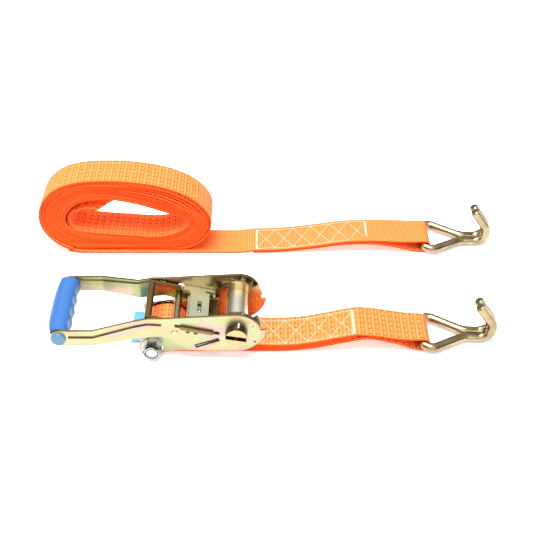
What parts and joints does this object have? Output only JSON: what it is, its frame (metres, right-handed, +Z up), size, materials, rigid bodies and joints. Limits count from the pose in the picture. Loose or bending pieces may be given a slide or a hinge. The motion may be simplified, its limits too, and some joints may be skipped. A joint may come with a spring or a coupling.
{
  "type": "ratchet tie down",
  "caption": "Ratchet buckle with a moulded grip, a short fixed strap with a double claw hook, and a long coiled strap with a matching hook.",
  "frame": {"origin": "middle of the footprint, on the surface it lies on", "axes": "+X along the straps towards the hooks, +Y across the webbing towards the loose long strap, +Z up"},
  "size_m": [0.5806, 0.2744, 0.11],
  "materials": {
    "yellow_zinc_plate": "yellow zinc plated pressed steel, iridescent",
    "hook_zinc": "glossy yellow zinc on round bar",
    "white_zinc": "bright zinc",
    "spring_steel": "bright spring wire",
    "nylon": "dark blue nylon",
    "grip_blue": "satin moulded blue",
    "cap_blue": "glossy steel blue",
    "webbing": "woven orange polyester",
    "thread": "white sewing thread",
    "label": "plain cyan blue tape"
  },
  "bodies": {
    "frame": {"frame_plate_far": "yellow_zinc_plate", "frame_plate_near": "yellow_zinc_plate", "strap_bolt": "white_zinc", "lock_nut": "white_zinc", "nut_nylon_ring": "nylon", "bolt_washers": "white_zinc", "strap_bush": "white_zinc", "locking_pawl_bracket": "yellow_zinc_plate", "locking_pawl_spring": "spring_steel"},
    "locking_pawl": {"locking_pawl": "yellow_zinc_plate"},
    "spool": {"mandrel_bar_upper": "yellow_zinc_plate", "mandrel_bar_lower": "yellow_zinc_plate", "mandrel_split_pins": "white_zinc", "ratchet_wheel_far": "yellow_zinc_plate", "ratchet_wheel_near": "yellow_zinc_plate"},
    "handle": {"handle_plate_far": "yellow_zinc_plate", "handle_plate_near": "yellow_zinc_plate", "handle_cross_rod": "yellow_zinc_plate", "grip_tube": "yellow_zinc_plate", "grip_sleeve": "grip_blue", "grip_cap_far": "cap_blue", "grip_cap_near": "cap_blue", "drive_pawl_bracket": "yellow_zinc_plate", "drive_pawl_spring": "spring_steel"},
    "drive_pawl": {"drive_pawl": "yellow_zinc_plate"},
    "fixed_strap": {"fixed_strap_webbing": "webbing", "fixed_strap_stitching": "thread", "fixed_strap_label": "label"},
    "fixed_hook": {"fixed_strap_hook": "hook_zinc"},
    "long_strap": {"long_strap_coil": "webbing", "long_strap_lead": "webbing", "long_strap_stitching": "thread"},
    "long_hook": {"long_strap_hook": "hook_zinc"}
  },
  "joints": [
    {"name": "spool_turn", "type": "hinge", "parent": "frame", "child": "spool", "pos_m": [-0.03434, -0.08417, 0.0414], "axis": [0, 1, 0], "continuous": true},
    {"name": "handle_swing", "type": "hinge", "parent": "frame", "child": "handle", "pos_m": [-0.03434, -0.08417, 0.0414], "axis": [0, 1, 0], "range_deg": [0, 180]},
    {"name": "drive_pawl_pull", "type": "slide", "parent": "handle", "child": "drive_pawl", "axis": [-0.9736, 0, 0.2284], "range_m": [-0.0032, 0.0044], "stiffness_N_per_m": 800, "springref_m": -0.008, "deforming": ["drive_pawl_spring"]},
    {"name": "locking_pawl_pull", "type": "slide", "parent": "frame", "child": "locking_pawl", "axis": [-0.9348, 0, -0.3551], "range_m": [0, 0.007], "stiffness_N_per_m": 600, "springref_m": -0.005, "deforming": ["locking_pawl_spring"]},
    {"name": "fixed_strap_swing", "type": "hinge", "parent": "frame", "child": "fixed_strap", "pos_m": [-0.13114, -0.08417, 0.0141], "axis": [0, 1, 0], "range_deg": [0, 180]},
    {"name": "fixed_hook_swing", "type": "hinge", "parent": "fixed_strap", "child": "fixed_hook", "pos_m": [0.17966, -0.08417, 0.0094], "axis": [0, 1, 0], "range_deg": [-100, 60]},
    {"name": "long_strap_place", "type": "slide", "parent": "frame", "child": "long_strap", "axis": [0, 1, 0], "range_m": [0, 0.25]},
    {"name": "long_hook_swing", "type": "hinge", "parent": "long_strap", "child": "long_hook", "pos_m": [0.20266, 0.10483, 0.0094], "axis": [0, 1, 0], "range_deg": [-100, 60]}
  ]
}
